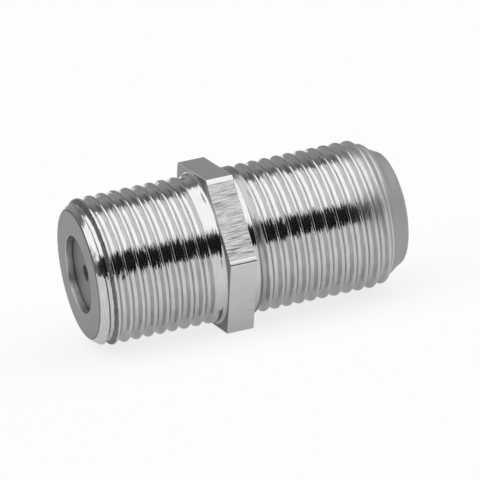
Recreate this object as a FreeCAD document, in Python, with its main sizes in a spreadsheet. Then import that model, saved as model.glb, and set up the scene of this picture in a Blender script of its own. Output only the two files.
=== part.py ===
import FreeCAD, Part
import Sketcher
import os

# Barrel coupler for two coaxial plugs: a turned and threaded body with a hexagonal flange,
# a stamped contact down its middle and an insulator at each mouth.
# The axis is X, the near mouth is at the origin, and the hexagon lies flat with +Z up.
# Lengths are in millimetres and angles in degrees.

PARTS_FOLDER = "parts"

DIMENSIONS = (
    ("thread_diameter", 9.42, "over the crests of both threads, 3/8 inch less 0.1"),
    ("thread_pitch", 0.79375, "32 turns to the inch"),
    ("thread_depth", 0.385, "crest down to the root, whose diameter is 8.65"),
    ("thread_angle", 60.0, "between the flanks"),
    ("cutter_overlap", 0.1, "how far the thread cutter stands clear of the crests"),
    ("near_barrel_length", 8.2, "near face to the flange"),
    ("near_chamfer_length", 0.84, "lead-in of the near thread"),
    ("near_chamfer_depth", 0.61, "crest down to the rim of the flat near face"),
    ("near_thread_start", 0.47, "near face to the first groove, along the top"),
    ("near_thread_length", 7.4, "near face to where the last groove ends"),
    ("hex_across_flats", 10.0, "spanner size of the flange"),
    ("hex_thickness", 1.755, "flange along the axis"),
    ("far_barrel_length", 11.08, "flange to the far end"),
    ("relief_width", 0.5, "neck behind the flange"),
    ("relief_depth", 0.41, "crest down to the neck"),
    ("far_thread_start", 0.525, "flange to the first far groove, along the top"),
    ("far_thread_length", 9.75, "flange to where the cutter leaves the nose"),
    ("nose_length", 2.4, "part of the far barrel that is squeezed inward"),
    ("nose_step_length", 0.5, "first and steeper stretch of the nose"),
    ("nose_step_depth", 0.43, "crest down to the end of that stretch"),
    ("nose_angle", 25.0, "slope of the rest of the nose against the axis"),
    ("nose_tip_length", 0.5, "rounded-over rim at the end of the nose"),
    ("nose_tip_angle", 63.0, "slope of the rim against the axis"),
    ("barrel_wall", 1.51, "crest down to the bore, whose diameter is 6.4"),
    ("near_lip_thickness", 0.5, "lip that stops the near insulator"),
    ("near_lip_overhang", 0.7, "bore wall in to the near mouth, whose diameter is 5"),
    ("far_lip_thickness", 0.6, "lip that is rolled over the far insulator"),
    ("far_lip_overhang", 0.85, "bore wall in to the far mouth, whose diameter is 4.7"),
    ("insulator_length", 2.4, "each plastic plug along the axis"),
    ("insulator_floor", 0.4, "plastic between the mouth and the end of the contact"),
    ("insulator_clearance", 0.02, "round each plug in the bore"),
    ("plug_hole_diameter", 1.1, "hole for the centre wire of a plug"),
    ("contact_width", 1.8, "across the two sides of the contact channel"),
    ("contact_height", 1.6, "height of those sides"),
    ("contact_sheet", 0.25, "sheet that the contact is stamped from"),
    ("contact_clearance", 0.02, "round the contact in each insulator, and at its ends"),
    ("finger_length", 2.6, "spring fingers at each end of the contact"),
    ("finger_nip_place", 0.8, "finger tips to where they come closest"),
    ("finger_gap", 0.8, "between two fingers where they grip the centre wire"),
)

document = FreeCAD.newDocument("coaxial_coupler")
sheet = document.addObject("Spreadsheet::Sheet", "sizes")


def fill_sheet():
    """Writes each driving dimension beside its name and its meaning."""
    for row, (alias, size, meaning) in enumerate(DIMENSIONS, start=1):
        sheet.set("A%d" % row, alias)
        sheet.set("B%d" % row, str(size))
        sheet.setAlias("B%d" % row, alias)
        sheet.set("C%d" % row, meaning)
    document.recompute()


def add_body(name):
    """A body whose label is also the name of its file."""
    body = document.addObject("PartDesign::Body", name)
    body.Label = name
    return body


def origin_feature(body, role):
    """One of the body's own planes or axes, such as XZ_Plane or X_Axis."""
    return next(feature for feature in body.Origin.OriginFeatures if feature.Role == role)


def add_sketch(body, name, plane="XZ_Plane"):
    """An empty sketch on one of the body's own planes."""
    sketch = body.newObject("Sketcher::SketchObject", name)
    sketch.AttachmentSupport = [(origin_feature(body, plane), "")]
    sketch.MapMode = "FlatFace"
    return sketch


def pin_corner(sketch, line, axis, expression):
    """Holds the start of a line at a bound distance from the sketch's origin along one axis."""
    if expression == "0":
        own_axis = {"DistanceX": -2, "DistanceY": -1}[axis]
        sketch.addConstraint(Sketcher.Constraint("PointOnObject", line, 1, own_axis))
        return
    size = float(sketch.evalExpression(expression))
    index = sketch.addConstraint(Sketcher.Constraint(axis, -1, 1, line, 1, size))
    sketch.setExpression("Constraints[%d]" % index, expression)


def draw_outline(sketch, corners):
    """A closed outline; each corner is its two coordinates, as expressions on the sheet."""
    points = [
        FreeCAD.Vector(*[float(sketch.evalExpression(part)) for part in corner], 0)
        for corner in corners
    ]
    first = sketch.GeometryCount
    count = len(corners)
    lines = [Part.LineSegment(points[i], points[(i + 1) % count]) for i in range(count)]
    sketch.addGeometry(lines, False)
    for i in range(count):
        following = first + (i + 1) % count
        sketch.addConstraint(Sketcher.Constraint("Coincident", first + i, 2, following, 1))
    for i, (across, up) in enumerate(corners):
        pin_corner(sketch, first + i, "DistanceX", across)
        pin_corner(sketch, first + i, "DistanceY", up)


def rectangle(low, high, half_height):
    """The corners of a rectangle that is centred on the sketch's first axis."""
    bottom = "-(%s)" % half_height
    return ((low, bottom), (high, bottom), (high, half_height), (low, half_height))


def turn(body, name, corners, feature_type="PartDesign::Revolution"):
    """Turns a half section about the X axis, adding to the body or cutting it."""
    sketch = add_sketch(body, name + "_section")
    draw_outline(sketch, corners)
    document.recompute()
    feature = body.newObject(feature_type, name)
    feature.Profile = sketch
    feature.ReferenceAxis = (origin_feature(body, "X_Axis"), [""])
    feature.Angle = 360
    document.recompute()
    return feature


def cut_thread(body, name, start, end):
    """Cuts a right-handed V groove from one pitch before its first mark to its end."""
    half_angle = "tan(sizes.thread_angle / 2 * 1 deg)"
    cutter_start = "(%s - sizes.thread_pitch)" % start
    root = "(sizes.thread_diameter / 2 - sizes.thread_depth)"
    rim = "(sizes.thread_diameter / 2 + sizes.cutter_overlap)"
    reach = "(sizes.thread_depth + sizes.cutter_overlap) * " + half_angle
    sketch = add_sketch(body, name + "_section")
    draw_outline(
        sketch,
        (
            (cutter_start, root),
            (cutter_start + " + " + reach, rim),
            (cutter_start + " - " + reach, rim),
        ),
    )
    document.recompute()
    groove = body.newObject("PartDesign::SubtractiveHelix", name)
    groove.Profile = sketch
    groove.ReferenceAxis = (origin_feature(body, "X_Axis"), [""])
    groove.Mode = "pitch-height-angle"
    groove.LeftHanded = False
    groove.setExpression("Pitch", "sizes.thread_pitch")
    groove.setExpression("Height", "%s - %s" % (end, cutter_start))
    document.recompute()
    return groove


# Places along the axis that several features share
HEX_START = "sizes.near_barrel_length"
HEX_END = "(sizes.near_barrel_length + sizes.hex_thickness)"
BODY_END = "(sizes.near_barrel_length + sizes.hex_thickness + sizes.far_barrel_length)"
CREST_RADIUS = "(sizes.thread_diameter / 2)"
BORE_RADIUS = "(sizes.thread_diameter / 2 - sizes.barrel_wall)"


def make_body():
    """The turned body: both threaded barrels, the flange, the stepped bore and the rolled nose."""
    body = add_body("body")
    relief_radius = CREST_RADIUS + " - sizes.relief_depth"
    relief_end = HEX_END + " + sizes.relief_width"
    hex_middle = HEX_START + " + sizes.hex_thickness / 2"
    nose_start = BODY_END + " - sizes.nose_length"
    step_radius = CREST_RADIUS + " - sizes.nose_step_depth"
    taper_length = "(sizes.nose_length - sizes.nose_step_length - sizes.nose_tip_length)"
    tip_radius = step_radius + " - " + taper_length + " * tan(sizes.nose_angle * 1 deg)"
    tip_drop = "sizes.nose_tip_length * tan(sizes.nose_tip_angle * 1 deg)"
    turn(
        body,
        "barrel",
        (
            ("0", "0"),
            ("0", CREST_RADIUS + " - sizes.near_chamfer_depth"),
            ("sizes.near_chamfer_length", CREST_RADIUS),
            (hex_middle, CREST_RADIUS),
            (hex_middle, relief_radius),
            (relief_end, relief_radius),
            (relief_end, CREST_RADIUS),
            (nose_start, CREST_RADIUS),
            (nose_start + " + sizes.nose_step_length", step_radius),
            (BODY_END + " - sizes.nose_tip_length", tip_radius),
            (BODY_END, tip_radius + " - " + tip_drop),
            (BODY_END, "0"),
        ),
    )
    cut_thread(body, "near_thread", "sizes.near_thread_start", "sizes.near_thread_length")
    cut_thread(
        body,
        "far_thread",
        "(%s + sizes.far_thread_start)" % HEX_END,
        "(%s + sizes.far_thread_length)" % HEX_END,
    )
    flange = body.newObject("PartDesign::AdditivePrism", "hex_flange")
    flange.AttachmentSupport = [(origin_feature(body, "YZ_Plane"), "")]
    flange.MapMode = "FlatFace"
    flange.Polygon = 6
    flange.setExpression("AttachmentOffset.Base.z", HEX_START)
    flange.setExpression("Circumradius", "sizes.hex_across_flats / 2 / cos(30 deg)")
    flange.setExpression("Height", "sizes.hex_thickness")
    document.recompute()
    near_lip = "sizes.near_lip_thickness"
    far_lip = BODY_END + " - sizes.far_lip_thickness"
    near_mouth = BORE_RADIUS + " - sizes.near_lip_overhang"
    far_mouth = BORE_RADIUS + " - sizes.far_lip_overhang"
    turn(
        body,
        "bore",
        (
            ("0", "0"),
            ("0", near_mouth),
            (near_lip, near_mouth),
            (near_lip, BORE_RADIUS),
            (far_lip, BORE_RADIUS),
            (far_lip, far_mouth),
            (BODY_END, far_mouth),
            (BODY_END, "0"),
        ),
        "PartDesign::Groove",
    )
    return body


def make_insulator(name):
    """A plastic plug with its outer face at its own origin and a pocket for the contact behind."""
    insulator = add_body(name)
    rim = BORE_RADIUS + " - sizes.insulator_clearance"
    hole = "sizes.plug_hole_diameter / 2"
    turn(
        insulator,
        name + "_plug",
        (
            ("0", hole),
            ("0", rim),
            ("sizes.insulator_length", rim),
            ("sizes.insulator_length", hole),
        ),
    )
    half_width = "sizes.contact_width / 2 + sizes.contact_clearance"
    half_height = "sizes.contact_height / 2 + sizes.contact_clearance"
    opening = add_sketch(insulator, name + "_pocket_section", "YZ_Plane")
    opening.setExpression("AttachmentOffset.Base.z", "sizes.insulator_length")
    draw_outline(opening, rectangle("-(%s)" % half_width, half_width, half_height))
    document.recompute()
    pocket = insulator.newObject("PartDesign::Pocket", name + "_pocket")
    pocket.Profile = opening
    pocket.setExpression("Length", "sizes.insulator_length - sizes.insulator_floor")
    document.recompute()
    return insulator


def make_contact():
    """The stamped contact: a channel whose two sides end in a pair of spring fingers."""
    contact = add_body("centre_contact")
    length = (
        "(" + BODY_END + " - sizes.near_lip_thickness - sizes.far_lip_thickness"
        " - 2 * sizes.insulator_floor - 2 * sizes.contact_clearance)"
    )
    finger_root = length + " - sizes.finger_length"
    far_nip = length + " - sizes.finger_nip_place"
    outside = "sizes.contact_width / 2"
    inside = outside + " - sizes.contact_sheet"
    nip_inside = "sizes.finger_gap / 2"
    nip_outside = nip_inside + " + sizes.contact_sheet"
    side_outline = (
        ("0", inside),
        ("0", outside),
        ("sizes.finger_nip_place", nip_outside),
        ("sizes.finger_length", outside),
        (finger_root, outside),
        (far_nip, nip_outside),
        (length, outside),
        (length, inside),
        (far_nip, nip_inside),
        (finger_root, inside),
        ("sizes.finger_length", inside),
        ("sizes.finger_nip_place", nip_inside),
    )
    sides = add_sketch(contact, "sides_section", "XY_Plane")
    draw_outline(sides, side_outline)
    draw_outline(sides, [(along, "-(%s)" % across) for along, across in side_outline])
    web = add_sketch(contact, "web_section", "XY_Plane")
    web.setExpression("AttachmentOffset.Base.z", "-sizes.contact_height / 2")
    draw_outline(web, rectangle("sizes.finger_length", finger_root, inside))
    document.recompute()
    web_pad = contact.newObject("PartDesign::Pad", "web")
    web_pad.Profile = web
    web_pad.setExpression("Length", "sizes.contact_sheet")
    document.recompute()
    side_pad = contact.newObject("PartDesign::Pad", "sides")
    side_pad.Profile = sides
    side_pad.SideType = "Symmetric"
    side_pad.setExpression("Length", "sizes.contact_height")
    document.recompute()
    return contact


def check_document(bodies):
    """Stops at any failed object or unsound solid, before anything is written."""
    for item in document.Objects:
        if "Invalid" in item.State or "Error" in item.State:
            raise RuntimeError("%s failed: %s" % (item.Name, item.State))
    for body in bodies:
        if body.Shape.isNull() or not body.Shape.isValid():
            raise RuntimeError("%s has no sound solid" % body.Label)


fill_sheet()
coupler_body = make_body()
front_insulator = make_insulator("front_insulator")
front_insulator.setExpression("Placement.Base.x", "sizes.near_lip_thickness")
rear_insulator = make_insulator("rear_insulator")
rear_insulator.Placement = FreeCAD.Placement(
    FreeCAD.Vector(0, 0, 0), FreeCAD.Rotation(FreeCAD.Vector(0, 0, 1), 180)
)
rear_insulator.setExpression("Placement.Base.x", BODY_END + " - sizes.far_lip_thickness")
centre_contact = make_contact()
centre_contact.setExpression(
    "Placement.Base.x",
    "sizes.near_lip_thickness + sizes.insulator_floor + sizes.contact_clearance",
)
document.recompute()

sub_parts = (coupler_body, front_insulator, rear_insulator, centre_contact)
check_document(sub_parts)
os.makedirs(PARTS_FOLDER, exist_ok=True)
for sub_part in sub_parts:
    sub_part.Shape.exportStep(os.path.join(PARTS_FOLDER, sub_part.Label + ".step"))
    print(
        sub_part.Label,
        round(sub_part.Shape.Volume, 2),
        len(sub_part.Shape.Solids),
        sub_part.Shape.BoundBox,
    )
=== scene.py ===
import math

import bpy
import numpy as np
from mathutils import Matrix, Vector


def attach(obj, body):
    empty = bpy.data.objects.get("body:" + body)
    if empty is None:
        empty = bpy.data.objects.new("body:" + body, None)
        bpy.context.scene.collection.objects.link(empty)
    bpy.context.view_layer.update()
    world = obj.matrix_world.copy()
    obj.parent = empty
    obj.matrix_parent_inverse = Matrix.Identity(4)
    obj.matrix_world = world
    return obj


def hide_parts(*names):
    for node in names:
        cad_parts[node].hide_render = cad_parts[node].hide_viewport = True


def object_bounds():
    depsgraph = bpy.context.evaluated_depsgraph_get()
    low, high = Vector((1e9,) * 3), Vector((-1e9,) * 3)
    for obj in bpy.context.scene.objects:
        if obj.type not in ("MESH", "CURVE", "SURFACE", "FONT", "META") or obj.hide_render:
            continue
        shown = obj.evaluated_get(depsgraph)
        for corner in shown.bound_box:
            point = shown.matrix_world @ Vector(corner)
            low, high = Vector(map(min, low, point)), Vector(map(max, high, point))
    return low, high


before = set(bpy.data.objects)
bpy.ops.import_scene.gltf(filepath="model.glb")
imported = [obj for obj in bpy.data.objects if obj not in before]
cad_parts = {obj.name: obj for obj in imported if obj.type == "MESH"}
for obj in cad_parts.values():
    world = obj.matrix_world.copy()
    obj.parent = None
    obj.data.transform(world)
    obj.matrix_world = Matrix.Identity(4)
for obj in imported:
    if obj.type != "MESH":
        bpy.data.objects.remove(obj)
cad_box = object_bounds()

# The coupler's sizes, in millimetres. Its axis is X and +Z is up. The thread's section, the near
# chamfer, the neck behind the flange and the nose follow the photograph more closely than the
# CAD source does, and the small roundings are only here.
MM = 0.001
PITCH = 0.79375
CREST_RADIUS = 4.71
THREAD_DEPTH = 0.35
FLANK_ANGLE = math.radians(31)
ROOT_FLAT = PITCH * 0.31
ROOT_ROUNDING = 0.12
NEAR_FACE_RADIUS = 4.1
RIM_ROUNDING = 0.05
CHAMFER_LENGTH = 0.95
CHAMFER_BULGE = 1.6
NEAR_THREAD_START = 0.48
NEAR_THREAD_END = 7.66
SHOULDER_FILLET = 0.2
HEX_START = 8.2
HEX_END = 9.955
HEX_APOTHEM = 5.0
HEX_CORNER_ROUNDING = 0.16
HEX_EDGE_BEVEL = 0.045
NECK_FILLET = 0.15
FAR_NECK_RADIUS = 4.61
FAR_NECK_END = 10.43
NECK_STEP_SLOPE = 1.5
FAR_BAND_END = 10.93
FAR_THREAD_START = 10.49
FAR_THREAD_END = 20.2
NOSE_FADE_START = 16.5
NOSE_FINISH_START = 19.12
# A thin strip of the nose that keeps the thread's brighter, glossier plating: a painted highlight
# line.
PAINTED_HIGHLIGHT_LINE = (19.33, 19.44)
SQUEEZED_PLACES = (18.8, 19.2, 19.6, 20.0)
SQUEEZED_SHARES = (1, 0.6, 0.25, 0)
NOSE_PLACES = (18.4, 18.8, 19.0, 19.2, 19.4, 19.6, 19.8, 20.0, 20.3, 20.6)
NOSE_RADII = (CREST_RADIUS, 4.68, 4.64, 4.57, 4.44, 4.27, 4.08, 3.91, 3.75, 3.59)
NOSE_TIP_START = 20.5
BODY_END = 21.035
TIP_PLACES = (NOSE_TIP_START, 20.6, 20.7, 20.8, 20.9, 21.0, BODY_END)
TIP_RADII = (3.65, 3.58, 3.45, 3.24, 2.95, 2.64, 2.56)
MOUTH_RADIUS = 2.5
MOUTH_ROUNDING = 0.03
FAR_MOUTH_RADIUS = 2.35
FAR_MOUTH_ROUNDING = 0.05
NEAR_LIP = 0.5
LIP_UNDERCUT = 0.07
FAR_LIP = 0.6
BORE_RADIUS = 3.2

# How finely the body's surface is divided: rings along the axis, degrees between columns, and
# what its even rings keep clear of a fillet and of the nose's rim
ROWS_PER_PITCH = 27
COLUMN_STEP = 3
EDGE_ROUNDING = 0.04
FILLET_GAP = 0.03
TIP_GAP = 0.05

# How a face's finish or painted shade is told: the X part of its normal, where the front flat
# with saw marks lies, in degrees from the top, and how near a place it has to be
SQUARE_TO_AXIS = 0.98
FLANK_TOWARDS_NEAR_END = -0.65
SHAVED_FLAT = 60
SHAVED_REACH = 26.5
MARGIN = 0.02

# The numbers of a Mix node's sockets for colours: A, B and the result
MIX_A, MIX_B, MIX_RESULT = 6, 7, 2


def crest_rounding():
    """(radius, half width) of the arc that rounds a crest from flank to flank."""
    half_flat = (PITCH - ROOT_FLAT) / 2 - THREAD_DEPTH * math.tan(FLANK_ANGLE)
    slope = math.pi / 2 - FLANK_ANGLE
    radius = half_flat / math.tan(slope / 2)
    return radius, radius * math.sin(slope)


def groove_depth(distance):
    """Depth below the crests at a distance along the axis from the middle of a groove."""
    crest_radius, crest_reach = crest_rounding()
    flank = THREAD_DEPTH - (distance - ROOT_FLAT / 2) / math.tan(FLANK_ANGLE)
    from_crest = np.minimum(PITCH / 2 - distance, crest_reach)
    crest = crest_radius - np.sqrt(crest_radius**2 - from_crest**2)
    depth = np.where(PITCH / 2 - distance < crest_reach, crest, flank)
    return rounded_min(depth, THREAD_DEPTH, ROOT_ROUNDING)


def thread(x, turns, start, end, entry=-PITCH):
    """Depth of a right-handed thread whose grooves grow from entry on and run out at end."""
    run_out = PITCH / 6
    run_in = PITCH / 2
    steps = (x - start) / PITCH - turns
    nearest = np.round(steps)
    groove_place = start + (nearest + turns) * PITCH
    share = np.clip((end - groove_place) / run_out, 0, 1)
    share *= np.clip((groove_place - entry) / run_in, 0, 1)
    return groove_depth(np.abs(steps - nearest) * PITCH) * share


def rounded_min(a, b, rounding=EDGE_ROUNDING):
    """The smaller of two radii, with the edge where they meet rounded off."""
    overlap = np.maximum(rounding - np.abs(a - b), 0) / rounding
    return np.minimum(a, b) - overlap**2 * rounding / 4


def hex_radius(turns):
    """Distance from the axis to the flange's outline, whose corners are rounded."""
    from_flat = (turns * 360 + 30) % 60 - 30
    flat = HEX_APOTHEM / np.cos(np.radians(from_flat))
    centre = (HEX_APOTHEM - HEX_CORNER_ROUNDING) / math.cos(math.radians(30))
    from_corner = np.radians(30 - np.abs(from_flat))
    inside = np.maximum(HEX_CORNER_ROUNDING**2 - (centre * np.sin(from_corner)) ** 2, 0)
    corner = centre * np.cos(from_corner) + np.sqrt(inside)
    return np.where(from_corner < corner_reach(), corner, flat)


def corner_reach():
    """Half the angle, seen from the axis, over which a corner of the flange is rounded."""
    centre = (HEX_APOTHEM - HEX_CORNER_ROUNDING) / math.cos(math.radians(30))
    across = HEX_CORNER_ROUNDING * math.sin(math.radians(30))
    along = centre + HEX_CORNER_ROUNDING * math.cos(math.radians(30))
    return math.atan(across / along)


def column_turns():
    """Places of the mesh's columns, as shares of a turn on from the top by way of the front."""
    degrees = list(np.arange(0, 360, COLUMN_STEP))
    reach = math.degrees(corner_reach())
    for corner in range(30, 360, 60):
        degrees += [corner - reach, corner - reach / 2, corner + reach / 2, corner + reach]
    return np.sort(np.array(degrees)) / 360


TURNS = column_turns()
ROWS = []


def row(x, radius):
    """Adds one ring of the surface, at a place along the axis."""
    ROWS.append((np.full(len(TURNS), float(x)), np.broadcast_to(radius, len(TURNS))))


def arc(centre_x, centre_radius, size, start_degrees, end_degrees, steps):
    """Adds the rings of a rounding; angles are measured from +X towards outward."""
    for angle in np.radians(np.linspace(start_degrees, end_degrees, steps + 1)):
        row(centre_x + size * math.cos(angle), centre_radius + size * math.sin(angle))


def near_barrel(x):
    """Radius of the near barrel, with its chamfer, thread and plain band."""
    threaded = CREST_RADIUS - thread(x, TURNS, NEAR_THREAD_START, NEAR_THREAD_END)
    left = max(1 - x / CHAMFER_LENGTH, 0)
    chamfer = CREST_RADIUS - (CREST_RADIUS - NEAR_FACE_RADIUS) * left**CHAMFER_BULGE
    return rounded_min(threaded, chamfer + max(x - CHAMFER_LENGTH, 0))


def far_barrel(x):
    """Radius of the far barrel, with its neck, thread and squeezed nose."""
    share = np.interp(x, SQUEEZED_PLACES, SQUEEZED_SHARES)
    grooves = thread(x, TURNS, FAR_THREAD_START, FAR_THREAD_END, FAR_NECK_END) * share
    threaded = np.interp(x, NOSE_PLACES, NOSE_RADII) - grooves
    step_up = FAR_NECK_RADIUS + max(x - FAR_NECK_END, 0) * NECK_STEP_SLOPE
    return rounded_min(threaded, step_up)


def build_rows():
    """The closed section of the body, ring by ring, from the near mouth round to the bore."""
    edge = MOUTH_ROUNDING
    arc(edge, MOUTH_RADIUS + edge, edge, 270, 180, 3)
    for share in (0.08, 0.5, 0.92):
        row(0, MOUTH_RADIUS + (NEAR_FACE_RADIUS - MOUTH_RADIUS) * share)
    edge = RIM_ROUNDING
    arc(edge, NEAR_FACE_RADIUS - edge, edge, 180, 132, 3)
    fillet = SHOULDER_FILLET
    barrel_end = HEX_START - fillet - FILLET_GAP
    count = round((barrel_end - RIM_ROUNDING) / PITCH * ROWS_PER_PITCH)
    for x in np.linspace(RIM_ROUNDING, barrel_end, count):
        row(x, near_barrel(x))
    arc(HEX_START - fillet, CREST_RADIUS + fillet, fillet, 270, 360, 6)
    hexagon = hex_radius(TURNS)
    low = CREST_RADIUS + fillet
    for share in (0.15, 0.6):
        row(HEX_START, low + (hexagon - HEX_EDGE_BEVEL - low) * share)
    flange_row(HEX_START, 1, hexagon)
    for share in (0.25, 0.5, 0.75):
        row(HEX_START + (HEX_END - HEX_START) * share, hexagon)
    flange_row(HEX_END, -1, hexagon)
    fillet = NECK_FILLET
    low = FAR_NECK_RADIUS + fillet
    for share in (0.6, 0.1):
        row(HEX_END, low + (hexagon - HEX_EDGE_BEVEL - low) * share)
    arc(HEX_END + fillet, FAR_NECK_RADIUS + fillet, fillet, 180, 270, 5)
    start = HEX_END + fillet + FILLET_GAP
    count = round((NOSE_TIP_START - TIP_GAP - start) / PITCH * ROWS_PER_PITCH)
    for x in np.linspace(start, NOSE_TIP_START - TIP_GAP, count):
        row(x, far_barrel(x))
    for x, radius in zip(TIP_PLACES, TIP_RADII):
        row(x, radius)
    edge = FAR_MOUTH_ROUNDING
    arc(BODY_END - edge, FAR_MOUTH_RADIUS + edge, edge, 0, -90, 3)
    row(BODY_END - FAR_LIP, FAR_MOUTH_RADIUS)
    row(BODY_END - FAR_LIP, BORE_RADIUS)
    row(NEAR_LIP, BORE_RADIUS)
    row(NEAR_LIP, MOUTH_RADIUS + LIP_UNDERCUT * 2)
    row(NEAR_LIP - LIP_UNDERCUT, MOUTH_RADIUS + LIP_UNDERCUT * 2)
    row(NEAR_LIP - LIP_UNDERCUT, MOUTH_RADIUS)


def flange_row(face, inward, hexagon):
    """The bevel between a shoulder and the flats, in the order the section meets it."""
    rings = [
        (face, hexagon - HEX_EDGE_BEVEL * 1.6),
        (face, hexagon - HEX_EDGE_BEVEL),
        (face + inward * HEX_EDGE_BEVEL * 0.3, hexagon - HEX_EDGE_BEVEL * 0.3),
        (face + inward * HEX_EDGE_BEVEL, hexagon),
        (face + inward * HEX_EDGE_BEVEL * 1.6, hexagon),
    ]
    for x, radius in rings if inward > 0 else reversed(rings):
        row(x, radius)


def surface_mesh(name):
    """Joins the rings, the last to the first, into one closed mesh."""
    x = np.stack([r[0] for r in ROWS]) * MM
    radius = np.stack([r[1] for r in ROWS]) * MM
    angle = TURNS * 2 * math.pi
    points = np.stack([x, -radius * np.sin(angle), radius * np.cos(angle)], -1).reshape(-1, 3)
    rows, columns = x.shape
    index = np.arange(rows * columns).reshape(rows, columns)
    below = np.roll(index, -1, 0)
    corners = (index, np.roll(index, -1, 1), np.roll(below, -1, 1), below)
    faces = np.stack(corners, -1).reshape(-1, 4)
    mesh = bpy.data.meshes.new(name)
    mesh.from_pydata(points.tolist(), [], faces.tolist())
    mesh.validate()
    mesh.update()
    return mesh


def add_node(tree, kind, inputs=None, **settings):
    """A node with its settings and its sockets' own values."""
    node = tree.nodes.new(kind)
    for key, value in settings.items():
        setattr(node, key, value)
    for key, value in (inputs or {}).items():
        node.inputs[key].default_value = value
    return node


def metal(name, colour, roughness, grain, tilt, tone_change=0.05, dulled=0.0):
    """Plated metal: grain and tilt say how fine its tool marks are, and how steep, along each axis.

    dulled is what its roughness gains towards the nose.
    """
    material = bpy.data.materials.new(name)
    material.use_nodes = True
    tree = material.node_tree
    shader = tree.nodes["Principled BSDF"]
    shader.inputs["Metallic"].default_value = 1.0
    place = add_node(tree, "ShaderNodeTexCoord")
    stretch = add_node(tree, "ShaderNodeMapping", {"Scale": grain})
    marks = add_node(tree, "ShaderNodeTexNoise", {"Scale": 1.0, "Detail": 3.0, "Roughness": 0.6})
    tree.links.new(place.outputs["Object"], stretch.inputs["Vector"])
    tree.links.new(stretch.outputs["Vector"], marks.inputs["Vector"])
    surface = add_node(tree, "ShaderNodeNewGeometry")
    centred = add_node(tree, "ShaderNodeVectorMath", {1: (0.5, 0.5, 0.5)}, operation="SUBTRACT")
    tree.links.new(marks.outputs["Color"], centred.inputs[0])
    tilted = add_node(tree, "ShaderNodeVectorMath", {1: tilt}, operation="MULTIPLY_ADD")
    tree.links.new(centred.outputs["Vector"], tilted.inputs[0])
    tree.links.new(surface.outputs["Normal"], tilted.inputs[2])
    unit = add_node(tree, "ShaderNodeVectorMath", operation="NORMALIZE")
    tree.links.new(tilted.outputs["Vector"], unit.inputs[0])
    tree.links.new(unit.outputs["Vector"], shader.inputs["Normal"])
    spread = {"From Min": 0.3, "From Max": 0.7}
    tones = {"To Min": 1 - tone_change, "To Max": 1 + tone_change}
    tone = add_node(tree, "ShaderNodeMapRange", spread | tones)
    tree.links.new(marks.outputs["Fac"], tone.inputs["Value"])
    shade = add_node(tree, "ShaderNodeVectorMath", {0: colour}, operation="SCALE")
    tree.links.new(tone.outputs["Result"], shade.inputs["Scale"])
    tree.links.new(shade.outputs["Vector"], shader.inputs["Base Color"])
    gloss = add_node(
        tree, "ShaderNodeMapRange", {"To Min": roughness * 0.7, "To Max": roughness * 1.3}
    )
    tree.links.new(marks.outputs["Fac"], gloss.inputs["Value"])
    if dulled:
        along = add_node(tree, "ShaderNodeSeparateXYZ")
        tree.links.new(place.outputs["Object"], along.inputs["Vector"])
        places = {"From Min": NOSE_FADE_START * MM, "From Max": NOSE_FINISH_START * MM}
        fade = add_node(tree, "ShaderNodeMapRange", places | {"To Min": 0.0, "To Max": dulled})
        tree.links.new(along.outputs["X"], fade.inputs["Value"])
        rougher = add_node(tree, "ShaderNodeMath", operation="ADD")
        tree.links.new(fade.outputs["Result"], rougher.inputs[0])
        tree.links.new(gloss.outputs["Result"], rougher.inputs[1])
        gloss = rougher
    tree.links.new(gloss.outputs[0], shader.inputs["Roughness"])
    return material


def plastic(name, colour):
    """Moulded plastic with a faint grain."""
    material = bpy.data.materials.new(name)
    material.use_nodes = True
    tree = material.node_tree
    shader = tree.nodes["Principled BSDF"]
    shader.inputs["Roughness"].default_value = 0.45
    shader.inputs["Subsurface Weight"].default_value = 0.6
    shader.inputs["Subsurface Scale"].default_value = 0.001
    shader.inputs["Subsurface Radius"].default_value = (1, 1, 1)
    place = add_node(tree, "ShaderNodeTexCoord")
    grain = add_node(tree, "ShaderNodeTexNoise", {"Scale": 6000.0, "Detail": 3.0})
    tree.links.new(place.outputs["Object"], grain.inputs["Vector"])
    bump = add_node(tree, "ShaderNodeBump", {"Strength": 0.6, "Distance": 0.00001})
    tree.links.new(grain.outputs["Fac"], bump.inputs["Height"])
    tree.links.new(bump.outputs["Normal"], shader.inputs["Normal"])
    tone = add_node(tree, "ShaderNodeMapRange", {"To Min": 0.94, "To Max": 1.06})
    tree.links.new(grain.outputs["Fac"], tone.inputs["Value"])
    shade = add_node(tree, "ShaderNodeVectorMath", {0: colour}, operation="SCALE")
    tree.links.new(tone.outputs["Result"], shade.inputs["Scale"])
    tree.links.new(shade.outputs["Vector"], shader.inputs["Base Color"])
    return material


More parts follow.
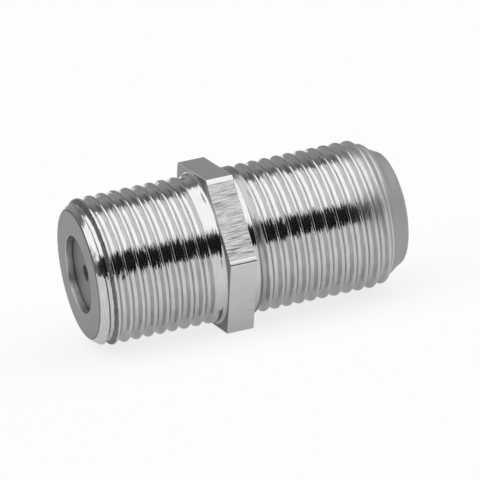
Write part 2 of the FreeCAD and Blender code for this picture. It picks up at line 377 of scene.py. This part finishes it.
def assign_by_place(mesh, materials):
    """Gives each face the finish of its part of the body, some with painted shade or a painted
    highlight.
    """
    for material in materials.values():
        mesh.materials.append(material)
    order = {name: i for i, name in enumerate(materials)}
    for face in mesh.polygons:
        x = face.center.x / MM
        turn = math.degrees(math.atan2(-face.center.y, face.center.z))
        radius = math.hypot(face.center.y, face.center.z) / MM
        along = face.normal.x
        outward = abs(along) < 0.5
        if HEX_START + MARGIN < x < HEX_END - MARGIN and radius > CREST_RADIUS and outward:
            kind = "shaved" if abs(turn % 180 - SHAVED_FLAT) < SHAVED_REACH else "flat"
        # The near face and the flange's near shoulder get a rougher plating whose darker grey is
        # partly painted shade.
        elif along < -SQUARE_TO_AXIS and radius > MOUTH_RADIUS and x < HEX_START + MARGIN / 2:
            kind = "face"
        elif along > SQUARE_TO_AXIS and abs(x - HEX_END) < MARGIN / 2:
            kind = "flat"
        elif radius < MOUTH_RADIUS + MARGIN * 2 and x < NEAR_LIP:
            kind = "lip"
        # The first groove's flank towards the near end and the rim's rounding get a dark grey
        # plating: painted shade for the dark line they show.
        elif abs(x - CHAMFER_LENGTH) < PITCH / 2 and along < FLANK_TOWARDS_NEAR_END:
            kind = "groove"
        elif x < RIM_ROUNDING and radius > NEAR_FACE_RADIUS - RIM_ROUNDING:
            kind = "groove"
        elif x < CHAMFER_LENGTH / 2 and radius > NEAR_FACE_RADIUS:
            kind = "chamfer"
        elif FAR_NECK_END - MARGIN < x < FAR_BAND_END and radius > NEAR_FACE_RADIUS:
            kind = "band"
        elif x > NOSE_FINISH_START and radius > MOUTH_RADIUS + MARGIN:
            # A thin strip keeps the brighter plating there, as a painted highlight line.
            kind = "turned" if PAINTED_HIGHLIGHT_LINE[0] < x < PAINTED_HIGHLIGHT_LINE[1] else "nose"
        else:
            kind = "turned"
        face.material_index = order[kind]


def build_body():
    """The plated body, in place of its CAD node."""
    build_rows()
    mesh = surface_mesh("plated_body")
    nickel = (0.6, 0.6, 0.595)
    satin = (0.42, 0.42, 0.417)
    # This darker grey, for the near face and the flange's near shoulder, is partly a duller plating
    # and partly a painted darker reflection.
    dull_and_painted_shade = (0.28, 0.28, 0.278)
    # This dark grey is painted shade, for the first groove's near flank and the rim's rounding.
    painted_shade_grey = (0.21, 0.21, 0.209)
    finishes_and_painted_shade = {
        "turned": metal(
            "nickel_turned", nickel, 0.1, (14000, 1200, 1200), (0.2, 0.35, 0.35), 0.1, dulled=0.35
        ),
        "band": metal("nickel_band", satin, 0.25, (12000, 1500, 1500), (0.2, 0.3, 0.3), 0.1),
        "chamfer": metal(
            "nickel_chamfer", nickel, 0.12, (9000, 2000, 2000), (0.15, 0.25, 0.25), 0.1
        ),
        "flat": metal("nickel_flat", nickel, 0.15, (800, 4000, 4000), (0.04, 0.06, 0.06)),
        "shaved": metal("nickel_shaved", satin, 0.2, (900, 20000, 20000), (0.1, 0.7, 0.7), 0.4),
        "lip": metal("nickel_lip", nickel, 0.3, (14000, 3000, 3000), (0.4, 0.3, 0.3), 0.4),
        "groove": metal("nickel_painted_shade", painted_shade_grey, 0.4, (6000, 3000, 3000), (0.2, 0.2, 0.2), 0.3),
        "face": metal("nickel_face", dull_and_painted_shade, 0.45, (5000, 5000, 5000), (0.1, 0.1, 0.1)),
        "nose": metal("nickel_nose", satin, 0.6, (6000, 1500, 1500), (0.1, 0.1, 0.1)),
    }
    assign_by_place(mesh, finishes_and_painted_shade)
    mesh.shade_smooth()
    mesh.set_sharp_from_angle(angle=math.radians(40))
    body = bpy.data.objects.new("plated_body", mesh)
    bpy.context.scene.collection.objects.link(body)
    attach(body, "root")
    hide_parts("body")


def finish_nodes():
    """Finishes of the pieces that stay as they are in the CAD model."""
    moulded = plastic("insulator_plastic", (0.14, 0.14, 0.14))
    spring = metal("contact_sheet", (0.78, 0.62, 0.36), 0.25, (3000, 9000, 9000), (0.1, 0.1, 0.1))
    for name, material in (
        ("front_insulator", moulded),
        ("rear_insulator", moulded),
        ("centre_contact", spring),
    ):
        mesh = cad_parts[name].data
        mesh.materials.clear()
        mesh.materials.append(material)


def add_camera():
    """The camera, at the photograph's viewing angle and roll."""
    azimuth = math.radians(16.4005)
    elevation = math.radians(14.8182)
    roll = math.radians(-7.938)
    distance = 414.119 * MM
    aim = Vector((10.7125, 0, -0.0229)) * MM
    forward = Vector(
        (
            math.sin(azimuth) * math.cos(elevation),
            math.cos(azimuth) * math.cos(elevation),
            -math.sin(elevation),
        )
    )
    level = forward.cross(Vector((0, 0, 1))).normalized()
    upright = level.cross(forward)
    right = level * math.cos(roll) + upright * math.sin(roll)
    up = right.cross(forward)
    camera = bpy.data.objects.new("camera", bpy.data.cameras.new("camera"))
    camera.data.sensor_width = 36
    camera.data.lens = 495.42
    camera.data.clip_start = 0.01
    camera.data.clip_end = 20
    turned = Matrix((right, up, -forward)).transposed()
    camera.matrix_world = Matrix.Translation(aim - forward * distance) @ turned.to_4x4()
    bpy.context.scene.collection.objects.link(camera)
    bpy.context.scene.camera = camera


def add_world():
    """Studio light as a ring of tones about the object's axis, from the front horizon overhead."""
    world = bpy.data.worlds.new("studio")
    bpy.context.scene.world = world
    world.use_nodes = True
    tree = world.node_tree
    background = tree.nodes["Background"]
    place = add_node(tree, "ShaderNodeTexCoord")
    split = add_node(tree, "ShaderNodeSeparateXYZ")
    tree.links.new(place.outputs["Generated"], split.inputs["Vector"])
    front = add_node(tree, "ShaderNodeMath", operation="MULTIPLY")
    front.inputs[1].default_value = -1.0
    tree.links.new(split.outputs["Y"], front.inputs[0])
    height = add_node(tree, "ShaderNodeMath", operation="ARCTAN2")
    tree.links.new(split.outputs["Z"], height.inputs[0])
    tree.links.new(front.outputs["Value"], height.inputs[1])
    share = add_node(tree, "ShaderNodeMath", operation="DIVIDE")
    share.inputs[1].default_value = math.pi
    tree.links.new(height.outputs["Value"], share.inputs[0])
    ring = add_node(tree, "ShaderNodeValToRGB")
    tree.links.new(share.outputs["Value"], ring.inputs["Fac"])
    stops = (
        (0, 0.006),
        (32, 0.008),
        (41, 0.74),
        (119, 0.74),
        (125, 0.1),
        (140, 0.12),
        (155, 0.18),
        (180, 0.18),
    )
    fill_ramp(ring.color_ramp, stops)
    tone = ring.outputs["Color"]
    # Both ends of the studio have their own grey, blended in between two X parts of a direction
    ends = ((-0.86, -0.97, 0.09), (0.72, 0.86, 0.34))
    for near, far, grey in ends:
        reach = add_node(
            tree,
            "ShaderNodeMapRange",
            {"From Min": near, "From Max": far},
            interpolation_type="SMOOTHSTEP",
        )
        tree.links.new(split.outputs["X"], reach.inputs["Value"])
        blend = add_node(tree, "ShaderNodeMix", {MIX_B: (grey, grey, grey, 1)}, data_type="RGBA")
        tree.links.new(reach.outputs["Result"], blend.inputs["Factor"])
        tree.links.new(tone, blend.inputs[MIX_A])
        tone = blend.outputs[MIX_RESULT]
    tree.links.new(tone, background.inputs["Color"])
    background.inputs["Strength"].default_value = 2.0


def fill_ramp(ramp, stops):
    """Sets a colour ramp's stops from (angle in degrees, grey) pairs over half a turn."""
    while len(ramp.elements) < len(stops):
        ramp.elements.new(0.5)
    angles, greys = zip(*stops)
    for element, degrees in zip(ramp.elements, angles):
        element.position = degrees / 180
    for element, grey in zip(ramp.elements, greys):
        element.color = (grey, grey, grey, 1)


def add_floor():
    """A pale floor that the flange's lower flat rests on."""
    reach = 3.0
    height = cad_box[0].z
    mesh = bpy.data.meshes.new("floor")
    corners = [(x * reach, y * reach, height) for x, y in ((-1, -1), (1, -1), (1, 1), (-1, 1))]
    mesh.from_pydata(corners, [], [(0, 1, 2, 3)])
    floor = bpy.data.objects.new("floor", mesh)
    bpy.context.scene.collection.objects.link(floor)
    material = bpy.data.materials.new("pale_floor")
    material.use_nodes = True
    tree = material.node_tree
    shader = tree.nodes["Principled BSDF"]
    shader.inputs["Base Color"].default_value = (0.9, 0.9, 0.9, 1)
    shader.inputs["Roughness"].default_value = 0.9
    shader.inputs["Specular IOR Level"].default_value = 0.0
    glow = add_node(tree, "ShaderNodeEmission", {"Color": (1, 1, 1, 1), "Strength": 1.0})
    light_path = add_node(tree, "ShaderNodeLightPath")
    share = None
    for kind, glow_share in (("Camera", 0.8), ("Glossy", 0.35), ("Transmission", 0.35)):
        part = add_node(tree, "ShaderNodeMath", {1: glow_share, 2: 0.0}, operation="MULTIPLY_ADD")
        tree.links.new(light_path.outputs[f"Is {kind} Ray"], part.inputs[0])
        if share:
            tree.links.new(share.outputs["Value"], part.inputs[2])
        share = part
    choose = add_node(tree, "ShaderNodeMixShader")
    tree.links.new(share.outputs["Value"], choose.inputs["Fac"])
    tree.links.new(shader.outputs["BSDF"], choose.inputs[1])
    tree.links.new(glow.outputs["Emission"], choose.inputs[2])
    tree.links.new(choose.outputs["Shader"], tree.nodes["Material Output"].inputs["Surface"])
    mesh.materials.append(material)


build_body()
finish_nodes()
add_floor()
add_world()
add_camera()
bpy.context.scene.view_settings.view_transform = "Standard"
